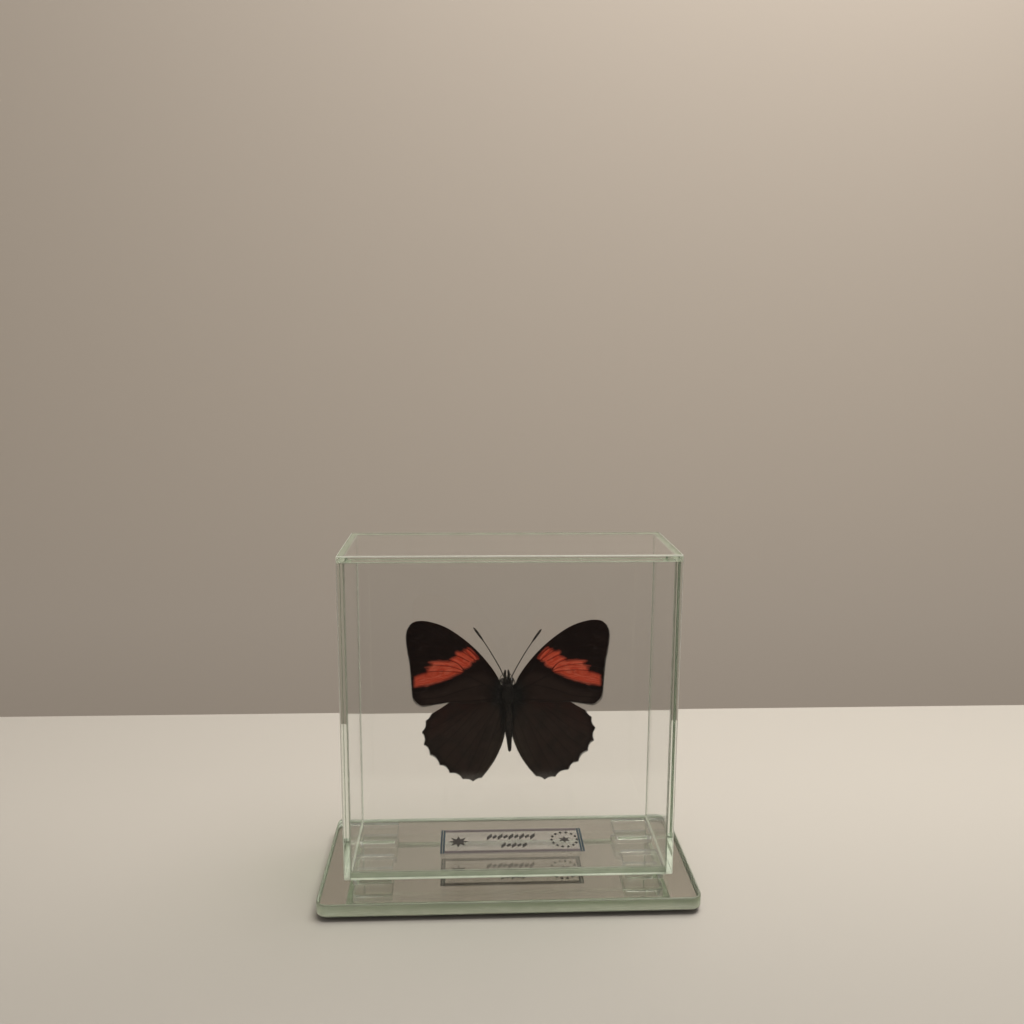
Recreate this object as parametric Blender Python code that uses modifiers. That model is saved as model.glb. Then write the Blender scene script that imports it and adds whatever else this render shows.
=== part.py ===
"""A mounted butterfly in a small glass display case, which stands on a mirror-glass base.

Metres, +Z up. The origin is on the surface that the feet stand on, under the middle of the base. The front
faces -Y, and left and right are as seen from the front.
"""

from math import radians

import bmesh
import bpy
from mathutils import Vector

COLLECTION = "butterfly_display_case"

# Driving dimensions
GAP = 0.0003  # air between neighbouring pieces
PANE = 0.002  # thickness of the case's glass
ARRIS = 0.0002  # ground corner of a pane or a pad
CASE_WIDTH, CASE_DEPTH, CASE_HEIGHT = 0.100, 0.036, 0.100
BASE_WIDTH, BASE_DEPTH, BASE_THICKNESS = 0.115, 0.053, 0.004
BASE_CORNER = 0.0035  # radius of the base's upright corners
BASE_ARRIS = 0.0003
FOOT_EDGE = 0.0003  # radius of a foot's rims
FOOT_RADIUS, FOOT_CLEARANCE, FOOT_INSET = 0.004, 0.0015, 0.007
PAD_SIDE, PAD_CLEARANCE = 0.012, 0.0026  # the clearance is from the base to the case
PAD_INSET_X, PAD_INSET_Y = 0.0022, 0.002  # from the case's outer faces
LABEL_SIZE = Vector((0.046, 0.015, 0.0002))
LABEL_ARRIS = 0.00004
LABEL_CENTRE_X, LABEL_CENTRE_Y = 0.0015, 0.001
PEG_EDGE = 0.0001
PEG_RADIUS, PEG_BELOW_THORAX = 0.00125, 0.0035

# Levels, from the surface up
BASE_UNDERSIDE = FOOT_CLEARANCE
BASE_TOP = BASE_UNDERSIDE + BASE_THICKNESS
CASE_UNDERSIDE = BASE_TOP + PAD_CLEARANCE
CASE_TOP = CASE_UNDERSIDE + CASE_HEIGHT
FLOOR_TOP = CASE_UNDERSIDE + PANE
THORAX_LEVEL = BASE_TOP + 0.0545

# The butterfly, measured from the middle of its thorax: x outwards, z towards the head
WING_THICKNESS = 0.0004
WING_LAYER = (WING_THICKNESS + GAP) / 2  # forewings lie this far in front of the middle, hindwings behind
BODY_STEPS = 24
BODY_PROFILE = [  # (distance along the body, radius), from the head down to the tip of the abdomen
    (0.0067, 0.0), (0.0064, 0.0008), (0.0055, 0.0014), (0.0046, 0.0013), (0.0036, 0.0010),
    (0.0026, 0.0017), (0.0008, 0.0023), (-0.0015, 0.0022), (-0.0034, 0.0014), (-0.0046, 0.0009),
    (-0.0065, 0.0011), (-0.0100, 0.0011), (-0.0140, 0.0009), (-0.0172, 0.0006), (-0.0185, 0.0003),
    (-0.0188, 0.0),
]
EYE_CENTRE, EYE_RADIUS = Vector((0.0012, -0.0004, 0.0049)), 0.00075
PALP_ROOT, PALP_TIP = Vector((0.0004, -0.0006, 0.0060)), Vector((0.0010, -0.0009, 0.0080))
PALP_ROOT_RADIUS, PALP_TIP_RADIUS = 0.00038, 0.00012
FOREWING_OUTLINE = [  # (x, z, whether the outline turns a corner there)
    (0.0027, 0.0022, True), (0.0041, 0.0066, False), (0.0083, 0.0125, False), (0.0141, 0.0182, False),
    (0.0207, 0.0221, False), (0.0272, 0.0238, False), (0.0306, 0.0226, False), (0.0316, 0.0184, False),
    (0.0305, 0.0122, False), (0.0301, 0.0068, False), (0.0298, 0.0005, False), (0.0280, -0.0034, False),
    (0.0240, -0.0040, False), (0.0188, -0.0028, False), (0.0100, -0.0024, False), (0.0027, -0.0016, True),
]
HINDWING_OUTLINE = [
    (0.0026, 0.0006, True), (0.0120, 0.0008, False), (0.0195, -0.0026, False), (0.0249, -0.0073, False),
    (0.0269, -0.0118, False), (0.0263, -0.0166, False), (0.0226, -0.0222, False), (0.0183, -0.0262, False),
    (0.0143, -0.0281, False), (0.0110, -0.0285, False), (0.0081, -0.0270, False), (0.0046, -0.0220, False),
    (0.0022, -0.0165, False), (0.0016, -0.0110, False), (0.0016, -0.0050, False), (0.0026, -0.0022, True),
]
ANTENNA_ROOT, ANTENNA_BEND, ANTENNA_TIP = (
    Vector((0.0013, -0.0009, 0.0066)),
    Vector((0.0056, -0.0013, 0.0142)),
    Vector((0.0104, -0.0013, 0.0210)),
)
ANTENNA_POINTS = 14
ANTENNA_RADIUS, CLUB_RADIUS, CLUB_START = 0.00014, 0.00034, 0.66

SIDES = {"left": -1, "right": 1}
ENDS = {"front": -1, "rear": 1}


def clear_scene():
    for obj in list(bpy.data.objects):
        bpy.data.objects.remove(obj)


def new_collection(name):
    collection = bpy.data.collections.new(name)
    bpy.context.scene.collection.children.link(collection)
    return collection


def new_material(name, colour, roughness, metallic=0.0, transmission=0.0):
    material = bpy.data.materials.new(name)
    material.use_nodes = True
    shader = material.node_tree.nodes["Principled BSDF"]
    shader.inputs["Base Color"].default_value = (*colour, 1.0)
    shader.inputs["Roughness"].default_value = roughness
    shader.inputs["Metallic"].default_value = metallic
    shader.inputs["Transmission Weight"].default_value = transmission
    shader.inputs["IOR"].default_value = 1.52
    return material


def new_object(name, data, material, location=(0, 0, 0), parent=None):
    obj = bpy.data.objects.new(name, data)
    obj.location = location
    obj.parent = parent
    data.materials.append(material)
    parts.objects.link(obj)
    return obj


def mesh_from(name, build):
    """A mesh made by build, which adds to the bmesh that it is given."""
    form = bmesh.new()
    build(form)
    mesh = bpy.data.meshes.new(name)
    form.to_mesh(mesh)
    form.free()
    return mesh


def add_bevel(obj, width, segments=1):
    bevel = obj.modifiers.new("rounded edges", "BEVEL")
    bevel.width = width
    bevel.segments = segments
    bevel.limit_method = "ANGLE"
    return bevel


def add_block(name, low, high, material, arris):
    """A box between two corners, its edges ground to a small chamfer."""
    low, high = Vector(low), Vector(high)

    def build(form):
        bmesh.ops.create_cube(form, size=1)
        bmesh.ops.scale(form, vec=high - low, verts=form.verts)

    obj = new_object(name, mesh_from(name, build), material, (low + high) / 2)
    add_bevel(obj, arris)
    return obj


def add_disc(name, radius, height, location, material, edge):
    """A short upright cylinder with rounded rims, its middle at location."""

    def build(form):
        bmesh.ops.create_cone(
            form, cap_ends=True, segments=32, radius1=radius, radius2=radius, depth=height
        )

    obj = new_object(name, mesh_from(name, build), material, location)
    obj.data.shade_smooth()
    obj.data.set_sharp_from_angle(angle=radians(40))
    add_bevel(obj, edge, segments=2)
    return obj


def add_mirror_base():
    def build(form):
        bmesh.ops.create_cube(form, size=1)
        bmesh.ops.scale(form, vec=(BASE_WIDTH, BASE_DEPTH, BASE_THICKNESS), verts=form.verts)
        upright = [
            edge for edge in form.edges if abs(edge.verts[0].co.z - edge.verts[1].co.z) > BASE_THICKNESS / 2
        ]
        bmesh.ops.bevel(
            form, geom=upright, offset=BASE_CORNER, segments=6, profile=0.5, affect="EDGES"
        )

    middle = BASE_UNDERSIDE + BASE_THICKNESS / 2
    obj = new_object("mirror_base", mesh_from("mirror_base", build), mirror, (0, 0, middle))
    add_bevel(obj, BASE_ARRIS).angle_limit = radians(60)
    return obj


def add_feet():
    x = BASE_WIDTH / 2 - FOOT_INSET
    y = BASE_DEPTH / 2 - FOOT_INSET
    height = FOOT_CLEARANCE - GAP
    for end, front_rear in ENDS.items():
        for side, left_right in SIDES.items():
            place = (left_right * x, front_rear * y, height / 2)
            add_disc(f"foot_{end}_{side}", FOOT_RADIUS, height, place, foot_rubber, FOOT_EDGE)


def add_pads():
    x = CASE_WIDTH / 2 - PAD_INSET_X - PAD_SIDE / 2
    y = CASE_DEPTH / 2 - PAD_INSET_Y - PAD_SIDE / 2
    half = Vector((PAD_SIDE, PAD_SIDE, PAD_CLEARANCE - 2 * GAP)) / 2
    for end, front_rear in ENDS.items():
        for side, left_right in SIDES.items():
            middle = Vector((left_right * x, front_rear * y, BASE_TOP + PAD_CLEARANCE / 2))
            add_block(f"pad_{end}_{side}", middle - half, middle + half, clear_acrylic, ARRIS)


def add_case():
    """Six panes: the top covers the walls, the side walls run the full depth, the floor lies between them."""
    x, y = CASE_WIDTH / 2, CASE_DEPTH / 2
    roof = CASE_TOP - PANE
    wall_top = roof - GAP
    add_block("pane_top", (-x, -y, roof), (x, y, CASE_TOP), case_glass, ARRIS)
    add_block("pane_left", (-x, -y, CASE_UNDERSIDE), (PANE - x, y, wall_top), case_glass, ARRIS)
    add_block("pane_right", (x - PANE, -y, CASE_UNDERSIDE), (x, y, wall_top), case_glass, ARRIS)
    inner_x = x - PANE - GAP
    add_block("pane_front", (-inner_x, -y, CASE_UNDERSIDE), (inner_x, PANE - y, wall_top), case_glass, ARRIS)
    add_block("pane_rear", (-inner_x, y - PANE, CASE_UNDERSIDE), (inner_x, y, wall_top), case_glass, ARRIS)
    inner_y = y - PANE - GAP
    add_block(
        "pane_bottom", (-inner_x, -inner_y, CASE_UNDERSIDE), (inner_x, inner_y, FLOOR_TOP), case_glass, ARRIS
    )


def add_label():
    middle = Vector((LABEL_CENTRE_X, LABEL_CENTRE_Y, FLOOR_TOP + GAP + LABEL_SIZE.z / 2))
    add_block("label_film", middle - LABEL_SIZE / 2, middle + LABEL_SIZE / 2, printed_film, LABEL_ARRIS)


def add_peg():
    """A clear rod from the back of the thorax to the rear pane."""
    body_back = max(radius for _, radius in BODY_PROFILE)
    start, end = body_back + GAP, CASE_DEPTH / 2 - PANE - GAP
    place = (0, (start + end) / 2, THORAX_LEVEL - PEG_BELOW_THORAX)
    obj = add_disc("support_peg", PEG_RADIUS, end - start, place, clear_acrylic, PEG_EDGE)
    obj.rotation_euler.x = radians(90)


def add_helper(name, build, location):
    """A solid that is only there for a Boolean to join."""
    obj = bpy.data.objects.new(name, mesh_from(name, build))
    obj.location = location
    obj.parent = butterfly
    obj.hide_render = True
    obj.display_type = "WIRE"
    helpers.objects.link(obj)
    return obj


def add_union(obj, other):
    union = obj.modifiers.new("join " + other.name, "BOOLEAN")
    union.operation = "UNION"
    union.solver = "EXACT"
    union.object = other


def add_body():
    """Abdomen, thorax and head turned about the body's axis, with the eyes and the two palps joined on."""

    def profile(form):
        rim = [form.verts.new((radius, 0, along)) for along, radius in BODY_PROFILE]
        for upper, lower in zip(rim, rim[1:]):
            form.edges.new((upper, lower))

    obj = new_object("butterfly_body", mesh_from("butterfly_body", profile), body_black, parent=butterfly)
    screw = obj.modifiers.new("turned", "SCREW")
    screw.steps = screw.render_steps = BODY_STEPS
    screw.use_merge_vertices = True
    screw.merge_threshold = 0.00001
    screw.use_smooth_shade = True

    def eye(form):
        bmesh.ops.create_uvsphere(form, u_segments=12, v_segments=8, radius=EYE_RADIUS)

    palp_line = PALP_TIP - PALP_ROOT

    def palp(form):
        bmesh.ops.create_cone(
            form, cap_ends=True, segments=8, radius1=PALP_ROOT_RADIUS, radius2=PALP_TIP_RADIUS,
            depth=palp_line.length,
        )

    for side, left_right in SIDES.items():
        mirrored = Vector((left_right, 1, 1))
        add_union(obj, add_helper(f"eye_{side}", eye, EYE_CENTRE * mirrored))
        joined = add_helper(f"palp_{side}", palp, (PALP_ROOT + PALP_TIP) / 2 * mirrored)
        joined.rotation_euler = (palp_line * mirrored).to_track_quat("Z", "Y").to_euler()
        add_union(obj, joined)


def add_wing(name, outline, left_right, layer, material):
    """A flat wing, upright and facing the front, cut to a smooth outline."""
    flat = bpy.data.curves.new(name, "CURVE")
    flat.dimensions = "2D"
    flat.fill_mode = "BOTH"
    flat.extrude = WING_THICKNESS / 2
    flat.resolution_u = 5
    spline = flat.splines.new("BEZIER")
    spline.use_cyclic_u = True
    spline.bezier_points.add(len(outline) - 1)
    ordered = outline if left_right < 0 else outline[::-1]
    for point, (x, z, corner) in zip(spline.bezier_points, ordered):
        point.co = (left_right * x, z, 0)
        point.handle_left_type = point.handle_right_type = "VECTOR" if corner else "AUTO"
    obj = new_object(name, flat, material, (0, layer, 0), butterfly)
    obj.rotation_euler.x = radians(90)


def antenna_point(t):
    """A point on the curve from the head through the bend to the tip, for t from 0 to 1."""
    first = ANTENNA_ROOT.lerp(ANTENNA_BEND, t)
    second = ANTENNA_BEND.lerp(ANTENNA_TIP, t)
    return first.lerp(second, t)


def antenna_radius(t):
    """Slender up to the club, which swells smoothly and narrows again at its very tip."""
    if t <= CLUB_START:
        return ANTENNA_RADIUS
    along = (t - CLUB_START) / (1 - CLUB_START)
    swelling = min(1, 2.2 * along) * (1 - 0.45 * along**6)
    return ANTENNA_RADIUS + (CLUB_RADIUS - ANTENNA_RADIUS) * swelling


def add_antenna(side, left_right):
    name = f"antenna_{side}"
    line = bpy.data.curves.new(name, "CURVE")
    line.dimensions = "3D"
    line.bevel_depth = ANTENNA_RADIUS
    line.bevel_resolution = 2
    line.use_fill_caps = True
    spline = line.splines.new("POLY")
    spline.points.add(ANTENNA_POINTS - 1)
    for index, point in enumerate(spline.points):
        t = index / (ANTENNA_POINTS - 1)
        place = antenna_point(t)
        point.co = (left_right * place.x, place.y, place.z, 1)
        point.radius = antenna_radius(t) / ANTENNA_RADIUS
    new_object(name, line, body_black, parent=butterfly)


def add_butterfly():
    add_body()
    for side, left_right in SIDES.items():
        add_wing(f"forewing_{side}", FOREWING_OUTLINE, left_right, -WING_LAYER, forewing_brown)
        add_wing(f"hindwing_{side}", HINDWING_OUTLINE, left_right, WING_LAYER, hindwing_brown)
        add_antenna(side, left_right)


clear_scene()
parts = new_collection(COLLECTION)
helpers = new_collection("helpers")
butterfly = bpy.data.objects.new("butterfly", None)
butterfly.location = (0, 0, THORAX_LEVEL)
parts.objects.link(butterfly)

mirror = new_material("mirror glass", (0.54, 0.52, 0.47), 0.02, metallic=1.0)
foot_rubber = new_material("foot rubber", (0.55, 0.56, 0.55), 0.45)
clear_acrylic = new_material("clear acrylic", (0.95, 0.97, 0.95), 0.03, transmission=1.0)
case_glass = new_material("case glass", (0.90, 0.96, 0.92), 0.0, transmission=1.0)
printed_film = new_material("printed film", (0.70, 0.72, 0.74), 0.2, transmission=0.6)
body_black = new_material("body black", (0.012, 0.010, 0.009), 0.7)
forewing_brown = new_material("forewing brown", (0.018, 0.014, 0.012), 0.6)
hindwing_brown = new_material("hindwing brown", (0.030, 0.025, 0.022), 0.6)

add_mirror_base()
add_feet()
add_pads()
add_case()
add_label()
add_peg()
add_butterfly()
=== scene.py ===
"""The looks of a butterfly in a glass display case, built round its CAD frame.

Metres, +Z up, the front facing -Y. The butterfly's own shapes are in millimetres from the middle of its
thorax, x outwards and z towards the head, and are mirrored for the other side.
"""

from math import pi, radians

import bmesh
import bpy
import numpy as np
from mathutils import Matrix, Vector


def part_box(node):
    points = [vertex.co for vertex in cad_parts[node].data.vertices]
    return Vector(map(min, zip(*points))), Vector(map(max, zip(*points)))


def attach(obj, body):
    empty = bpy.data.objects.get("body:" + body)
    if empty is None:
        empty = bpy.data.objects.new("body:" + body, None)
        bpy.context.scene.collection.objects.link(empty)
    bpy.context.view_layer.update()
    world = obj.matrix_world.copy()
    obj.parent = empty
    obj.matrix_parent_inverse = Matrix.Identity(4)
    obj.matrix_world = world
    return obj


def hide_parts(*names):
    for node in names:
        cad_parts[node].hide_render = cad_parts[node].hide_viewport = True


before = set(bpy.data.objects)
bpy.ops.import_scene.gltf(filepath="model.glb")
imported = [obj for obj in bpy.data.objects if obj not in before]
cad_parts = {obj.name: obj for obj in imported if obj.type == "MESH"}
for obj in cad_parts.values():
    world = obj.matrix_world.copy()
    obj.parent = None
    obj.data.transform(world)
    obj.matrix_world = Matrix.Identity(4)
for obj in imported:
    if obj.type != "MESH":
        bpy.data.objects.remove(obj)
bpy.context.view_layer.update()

scene = bpy.context.scene
MM = 0.001
SIDES = {"left": -1, "right": 1}
CORNERS = [f"{end}_{side}" for end in ("front", "rear") for side in SIDES]

# Camera and room
CAMERA_PLACE = Vector((-0.0116, -0.2784, 0.1645))
CAMERA_YAW, CAMERA_PITCH, CAMERA_ROLL = radians(-2.588), radians(9.522), radians(0.307)
LENS, SENSOR = 32.74, 36.0
TABLE_FRONT, TABLE_REAR, TABLE_SIDE = -0.9, 0.137, 1.5
WALL_Y = 0.300
LAMP_PLACE, LAMP_TARGET = Vector((0.22, 0.06, 0.80)), Vector((0.08, 0.12, 0.0))
WORLD_STRENGTH = 0.42
# Painted shadow: in front of this the table's colour is painted nearly black in what the panes mirror.
MIRRORED_SHADE_FROM = -0.105  # in front of this the table is dark in the panes

# Glass
PANE = 0.002
CASE_ARRIS, BASE_ARRIS, PAD_ARRIS = 0.0004, 0.0004, 0.00025
BEAD = 0.00035
BASE_CORNER, PAD_CORNER = 0.0035, 0.0008
SILVER = 0.00006
HAIRLINE = 0.00002  # air between bonded pieces
GLASS_TINT = (0.227, 0.545, 0.173)  # green, from the depth of the glass
GLUE_INSET, GLUE_HALF, SOLE_RISE = 0.00012, 0.00003, 0.0002
FILM, FILM_CORNER = 0.0001, 0.0006
FOOT_PROFILE = [(0.45, 0.0), (0.62, 0.05), (0.78, 0.2), (0.9, 0.45), (0.97, 0.75), (1.0, 0.95), (0.98, 1.0)]

# Butterfly, in millimetres from the middle of its thorax
ABDOMEN_TIP = 18.8
FORE_COSTA = [
    (0.8, 2.0), (2.2, 3.4), (3.3, 5.9), (5.6, 9.5), (8.6, 13.2), (11.8, 16.4), (15.2, 19.2), (18.1, 21.2),
    (20.9, 22.6), (23.8, 23.5), (26.6, 23.9), (29.1, 23.5), (30.4, 22.5),
]
FORE_OUTER = [
    (30.4, 22.5), (31.3, 20.6), (31.5, 18.0), (31.1, 14.0), (30.5, 10.5), (30.1, 5.0), (29.8, 0.0),
    (29.3, -1.8), (28.4, -2.9),
]
FORE_HIND = [
    (0.8, -2.2), (2.5, -2.4), (6.0, -2.4), (10.0, -2.5), (14.0, -2.6), (18.1, -2.35), (21.0, -2.75),
    (23.6, -3.15), (26.0, -3.6), (27.3, -3.55), (28.4, -2.9),
]
FORE_ROOT = [(0.8, 2.0), (0.7, 0.0), (0.8, -2.2)]
HIND_COSTA = [(0.8, 1.2), (4.0, 1.6), (8.0, 1.6), (15.0, 0.3), (18.5, -2.7), (20.8, -4.45), (23.9, -6.5)]
HIND_TIPS = [
    (23.9, -6.5), (25.7, -8.7), (26.9, -12.4), (26.4, -16.5), (24.5, -19.9), (21.45, -23.35), (18.35, -26.0),
    (14.2, -28.2), (10.9, -29.0), (8.3, -27.8),
]
HIND_INNER = [
    (0.5, -2.0), (0.5, -5.0), (0.6, -9.0), (1.2, -14.0), (2.4, -18.0), (4.1, -21.7), (6.1, -24.9),
    (8.3, -27.8),
]
HIND_ROOT = [(0.8, 1.2), (0.5, 0.0), (0.5, -2.0)]
SCALLOPS = (0.25, 0.5, 0.65, 0.65, 0.72, 0.8, 0.8, 0.4, 0.3)
FORE_SHIFT = {"left": -0.05, "right": -0.08}
HIND_TURN = {"left": 0.0, "right": radians(1.5)}  # each hindwing is set at its own angle
HIND_WIDTH = {"left": 1.0, "right": 1.02}
FORE_VEINS = [
    [(1.4, 2.2), (5.0, 7.2), (9.0, 11.9), (13.5, 15.8), (18.0, 19.9)],
    [(10.0, 11.1), (14.2, 15.0), (18.6, 18.8), (22.6, 22.3)],
    [(12.6, 13.0), (17.0, 16.6), (22.0, 20.2), (26.8, 23.3)],
    [(1.2, 1.6), (5.0, 6.0), (9.0, 10.2), (12.6, 13.0), (16.2, 15.2), (20.0, 17.6), (25.0, 20.9),
     (29.0, 23.0)],
    [(17.6, 16.1), (22.0, 18.1), (26.5, 19.3), (31.3, 19.8)],
    [(12.2, 10.9), (13.3, 11.5), (14.9, 12.3), (16.4, 12.9), (21.0, 14.2), (26.0, 15.1), (31.3, 15.6)],
    [(13.6, 7.7), (14.6, 9.1), (15.5, 10.1), (16.8, 10.8), (18.7, 11.4), (23.0, 12.0), (30.8, 12.4)],
    [(13.6, 7.7), (16.0, 8.8), (19.0, 9.5), (22.5, 9.8), (26.4, 9.8), (30.4, 9.3)],
    [(13.4, 7.4), (14.9, 7.35), (18.0, 7.7), (21.5, 7.85), (26.2, 7.3), (30.1, 6.0)],
    [(1.2, 0.4), (5.0, 2.4), (8.5, 4.0), (12.0, 6.2), (13.6, 7.7)],
    [(10.9, 5.5), (13.6, 6.0), (16.5, 5.3), (19.0, 4.1), (21.8, 2.9), (25.3, 2.0), (29.8, 1.4)],
    [(7.2, 3.4), (12.0, 2.4), (16.0, 1.2), (21.0, -0.6), (28.9, -1.6)],
    [(1.2, -1.2), (9.0, -1.6), (18.0, -2.1), (27.6, -3.3)],
]
HIND_VEINS = [
    [(1.2, 0.6), (8.0, 0.3), (15.0, -1.6), (20.0, -5.0), (25.0, -8.6)],
    [(2.0, -0.2), (8.0, -2.2), (15.0, -6.0), (21.0, -9.6), (26.4, -12.5)],
    [(8.0, -2.2), (13.0, -6.4), (19.0, -11.6), (25.9, -16.4)],
    [(9.6, -4.6), (13.6, -9.4), (18.5, -14.8), (24.0, -19.6)],
    [(7.6, -7.0), (11.6, -11.6), (16.0, -17.2), (21.1, -23.2)],
    [(5.6, -7.4), (9.2, -13.0), (13.4, -19.4), (18.1, -25.9)],
    [(1.6, -1.6), (4.2, -5.6), (6.8, -11.0), (9.8, -18.6), (13.9, -27.8)],
    [(1.3, -2.0), (2.6, -7.0), (4.6, -13.6), (7.2, -20.6), (10.8, -28.4)],
    [(0.9, -2.4), (1.3, -8.0), (2.3, -14.0), (4.6, -20.8), (8.5, -27.4)],
]
BAND_SPOTS = [  # (how pale the spot is, how black it is, its outline)
    (0.35, 0.0, [(29.4, 5.9), (27.6, 6.7), (24.7, 7.5), (21.0, 7.75), (17.0, 7.7), (14.6, 7.4),
        (14.8, 7.0), (15.8, 6.65), (17.4, 5.8), (19.1, 4.95), (21.4, 4.05), (24.3, 3.2), (27.0, 2.6),
        (29.2, 2.25), (29.5, 2.8), (29.45, 4.4)]),
    (0.85, 0.0, [(25.4, 7.75), (21.0, 7.8), (17.0, 7.8), (14.3, 7.5), (13.9, 8.1), (14.7, 9.1),
        (15.7, 10.1), (16.9, 10.75), (18.6, 11.15), (21.7, 11.3), (24.0, 11.0), (24.9, 10.5),
        (23.9, 10.0), (24.3, 9.5), (26.0, 9.0), (24.9, 8.6), (25.6, 8.1)]),
    (0.25, 0.0, [(18.2, 11.6), (16.8, 11.0), (15.4, 10.3), (14.4, 9.3), (13.7, 8.6), (12.7, 8.75),
        (11.5, 9.6), (11.6, 10.5), (13.0, 11.4), (15.0, 12.4), (16.2, 12.7), (17.4, 12.2)]),
    (0.45, 0.0, [(16.4, 13.2), (14.9, 12.5), (13.0, 11.6), (11.6, 10.7), (10.6, 10.7), (9.9, 11.5),
        (10.3, 12.6), (11.5, 13.9), (12.6, 14.8), (13.6, 14.9), (14.7, 14.2), (15.9, 14.3), (16.5, 13.8)]),
    (0.1, 0.6, [(9.1, 11.9), (9.7, 11.6), (10.3, 12.8), (11.6, 14.3), (12.7, 15.1), (12.3, 15.4),
        (10.8, 14.2)]),
]
BAND_REACH = 3.0  # a spot's distance is kept this far out
WING_THICK = 0.10
ANTENNAE = {
    "left": [(1.2, -0.7, 5.6), (2.6, -1.0, 9.0), (5.3, -1.2, 13.9), (7.9, -1.25, 18.1), (10.7, -1.25, 22.1)],
    "right": [(0.9, -0.7, 5.6), (2.6, -1.0, 9.2), (5.0, -1.2, 13.6), (7.5, -1.25, 17.6), (10.1, -1.25, 21.4)],
}
BODY_LEAN = radians(1.3)  # the head leans to the left as seen from the front
HEAD_ASIDE, TAIL_ASIDE = 0.28, 0.18
ABDOMEN_HEIGHTS = [-18.8, -18.4, -17.0, -15.0, -13.2, -10.0, -6.0, -3.0]
ABDOMEN_WIDTHS = [0.36, 0.55, 0.68, 0.84, 1.12, 1.30, 1.22, 1.0]
LEGS = [  # (radius, the line of a right leg): three behind the thorax, and the short front one tucked up
    (0.16, [(0.9, 1.3, 1.6), (2.3, 2.6, 2.6), (2.0, 3.1, 4.4), (0.9, 3.0, 6.0)]),
    (0.17, [(1.0, 1.5, -0.2), (2.9, 2.9, -0.6), (2.6, 3.3, -2.9), (1.5, 2.9, -5.6)]),
    (0.17, [(0.9, 1.3, -1.6), (2.4, 2.6, -3.4), (1.9, 2.7, -6.4), (1.1, 2.1, -9.6)]),
    (0.12, [(0.6, 1.0, 2.8), (1.1, 1.7, 3.4), (0.8, 1.9, 4.4)]),
]


# ---- general helpers


def link(obj):
    scene.collection.objects.link(obj)
    return obj


def piece(name, mesh, stands_for=()):
    """An object that rides with the case, takes its finish from its mesh and stands for the CAD nodes named.
    """
    obj = link(bpy.data.objects.new(name, mesh))
    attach(obj, "root")
    if stands_for:
        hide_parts(*stands_for)
    return obj


def even_shading(obj):
    """Keeps large flat faces flat beside their rounded edges."""
    weighted = obj.modifiers.new("even shading", "WEIGHTED_NORMAL")
    weighted.weight = 100
    weighted.keep_sharp = True


def mesh_of(name, points, faces, materials, smooth=True, slots=None):
    """A mesh from arrays of points and of faces, in metres."""
    mesh = bpy.data.meshes.new(name)
    mesh.from_pydata(np.asarray(points).tolist(), [], [list(map(int, face)) for face in faces])
    for each in materials:
        mesh.materials.append(each)
    if slots is not None:
        mesh.polygons.foreach_set("material_index", np.asarray(slots, np.int32))
    mesh.polygons.foreach_set("use_smooth", [smooth] * len(mesh.polygons))
    mesh.update()
    return mesh


def curve(points, count):
    """A smooth line through the points, as count evenly spaced ones."""
    points = np.array(points, float)
    held = np.vstack([2 * points[0] - points[1], points, 2 * points[-1] - points[-2]])
    pieces = []
    for a, b, c, d in zip(held, held[1:], held[2:], held[3:]):
        t = np.linspace(0, 1, 16, endpoint=False)[:, None]
        pieces.append(
            0.5 * (2 * b + (c - a) * t + (2 * a - 5 * b + 4 * c - d) * t**2 + (3 * b - a - 3 * c + d) * t**3)
        )
    return spaced(np.vstack([*pieces, points[-1:]]), count)


def spaced(points, count):
    """The same line as count evenly spaced points."""
    along = np.r_[0, np.cumsum(np.linalg.norm(np.diff(points, axis=0), axis=1))]
    at = np.linspace(0, along[-1], count)
    return np.stack([np.interp(at, along, column) for column in points.T], axis=1)


def smooth_step(value, low, high):
    t = np.clip((value - low) / (high - low), 0, 1)
    return t * t * (3 - 2 * t)


def unit(vectors):
    return vectors / np.linalg.norm(vectors, axis=1, keepdims=True)


def ellipse(wide, deep, z, around, x=0.0, y=0.0):
    """A level ring of points about (x, y, z)."""
    turn = np.linspace(0, 2 * pi, around, endpoint=False)
    return np.stack([x + wide * np.cos(turn), y + deep * np.sin(turn), np.full(around, z)], axis=1)


def ring_faces(count, around, start=0):
    """The faces between count rings of points that follow one another from start."""
    faces = []
    for a in range(start, start + (count - 1) * around, around):
        for j in range(around):
            k = (j + 1) % around
            faces.append((a + j, a + k, a + around + k, a + around + j))
    return faces


def capped(rings, low, high):
    """(points, faces) of a closed form through rings of points, with one more point at each end."""
    around = len(rings[0])
    points = np.vstack([[low], *rings, [high]])
    end = len(points) - 1
    faces = ring_faces(len(rings), around, 1)
    for j in range(around):
        k = (j + 1) % around
        faces.append((0, 1 + k, 1 + j))
        faces.append((end - around + j, end - around + k, end))
    return points, faces


def tube(points, radii, sides):
    """(points, faces) of a round tube with closed ends, along a line in space."""
    ahead = unit(np.gradient(points, axis=0))
    first = unit(np.cross(ahead, (0.31, 0.87, 0.13)))
    second = np.cross(ahead, first)
    turn = np.linspace(0, 2 * pi, sides, endpoint=False)
    ring = first[:, None] * np.cos(turn)[None, :, None] + second[:, None] * np.sin(turn)[None, :, None]
    rim = (points[:, None] + ring * radii[:, None, None]).reshape(-1, 3)
    faces = ring_faces(len(points), sides)
    start, end, last = len(rim), len(rim) + 1, len(rim) - sides
    for j in range(sides):
        k = (j + 1) % sides
        faces.append((start, k, j))
        faces.append((end, last + j, last + k))
    return np.vstack([rim, points[[0, -1]]]), faces


def joined(parts):
    """Several (points, faces) as one."""
    points, faces, count = [], [], 0
    for some_points, some_faces in parts:
        points.append(some_points)
        faces += [tuple(i + count for i in face) for face in some_faces]
        count += len(some_points)
    return np.vstack(points), faces


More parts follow.
